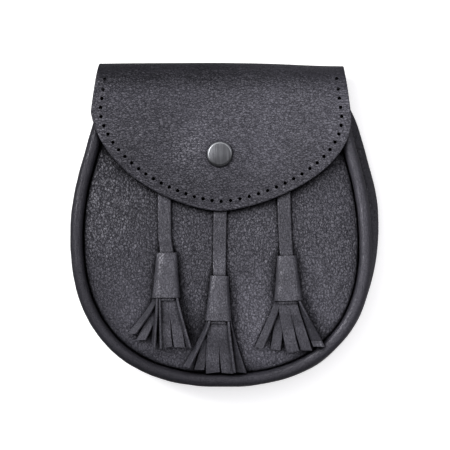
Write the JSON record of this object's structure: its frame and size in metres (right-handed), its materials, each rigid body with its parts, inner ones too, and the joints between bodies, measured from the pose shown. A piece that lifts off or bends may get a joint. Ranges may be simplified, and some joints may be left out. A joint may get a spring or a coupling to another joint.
{
  "type": "sporran pouch",
  "caption": "Leather sporran pouch with a rolled rim, a flap with punched holes and a press stud, tassels of cut leather strips, and belt loops on its back.",
  "frame": {"origin": "on the resting surface, under the middle of the object, which lies on its back", "axes": "+X to the right seen from the front, +Y towards the fold of the flap, +Z out of the front"},
  "size_m": [0.1812, 0.1899, 0.0432],
  "materials": {
    "panel_leather": "pebble-grained black leather, semi-matt",
    "flap_leather": "pebble-grained black leather, semi-matt",
    "rim_leather": "fine-grained black leather, soft sheen",
    "tassel_leather": "smooth black leather, cut edges",
    "snap_metal": "darkened nickel, fine brushed"
  },
  "bodies": {
    "root": {"back_panel": "panel_leather", "front_panel": "panel_leather", "gusset": "panel_leather", "rim_roll": "rim_leather", "flap": "flap_leather", "belt_loop_left": "panel_leather", "belt_loop_right": "panel_leather", "snap_cap": "snap_metal", "snap_stud": "snap_metal", "tassel_strap_left": "tassel_leather", "tassel_sleeve_left": "tassel_leather", "tassel_fringe_left": "tassel_leather", "tassel_strap_centre": "tassel_leather", "tassel_sleeve_centre": "tassel_leather", "tassel_fringe_centre": "tassel_leather", "tassel_strap_right": "tassel_leather", "tassel_sleeve_right": "tassel_leather", "tassel_fringe_right": "tassel_leather"}
  },
  "joints": []
}
